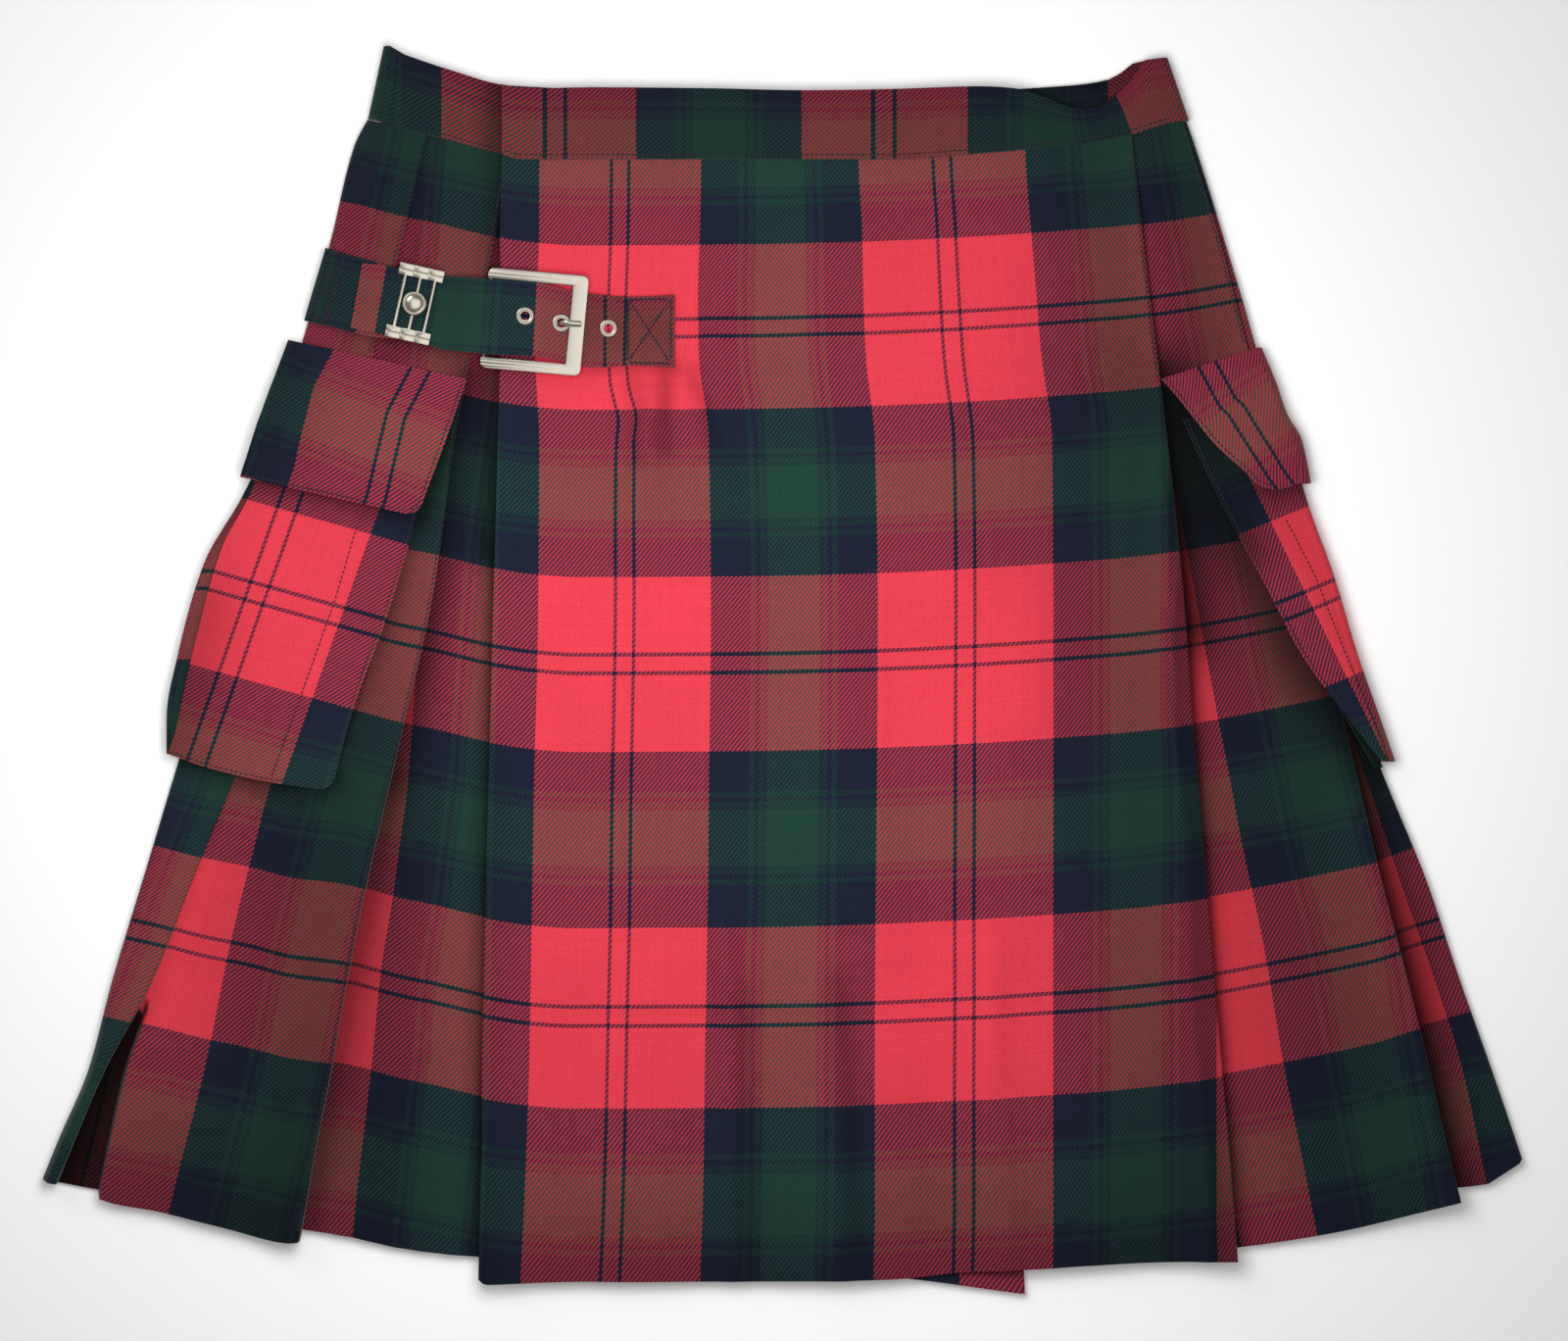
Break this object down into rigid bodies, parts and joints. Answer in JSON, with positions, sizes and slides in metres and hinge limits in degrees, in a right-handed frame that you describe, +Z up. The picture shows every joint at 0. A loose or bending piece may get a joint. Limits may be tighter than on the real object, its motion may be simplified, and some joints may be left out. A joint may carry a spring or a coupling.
{
  "type": "kilt",
  "caption": "Wrap kilt laid flat, with overlapping aprons, knife pleats, a waistband, flapped side pockets and a buckled hip strap.",
  "frame": {"origin": "bottom centre of the laid kilt's bounding box, on the surface it lies on", "axes": "+Y towards the waistband, +X towards the wearer's left (the picture's right), +Z up, away from the surface"},
  "size_m": [0.7556, 0.637, 0.017],
  "materials": {
    "tartan_wool": "twill-woven wool in a red, green and navy tartan",
    "strap_wool": "the same tartan wool, doubled and topstitched",
    "pale_metal": "polished pale silver-gold plate"
  },
  "bodies": {
    "root": {"over_apron": "tartan_wool", "under_apron": "tartan_wool", "left_side_panel": "tartan_wool", "right_side_panel": "tartan_wool", "back_panel": "tartan_wool", "waistband": "tartan_wool", "left_pocket_front": "tartan_wool", "left_pocket_gusset": "tartan_wool", "left_pocket_flap": "tartan_wool", "right_pocket_front": "tartan_wool", "right_pocket_gusset": "tartan_wool", "right_pocket_flap": "tartan_wool", "hip_strap_base": "strap_wool", "hip_strap_tail": "strap_wool", "buckle_frame": "pale_metal", "buckle_prong": "pale_metal", "eyelet_1": "pale_metal", "eyelet_2": "pale_metal", "eyelet_3": "pale_metal", "keeper_frame": "pale_metal", "keeper_stud": "pale_metal"}
  },
  "joints": []
}
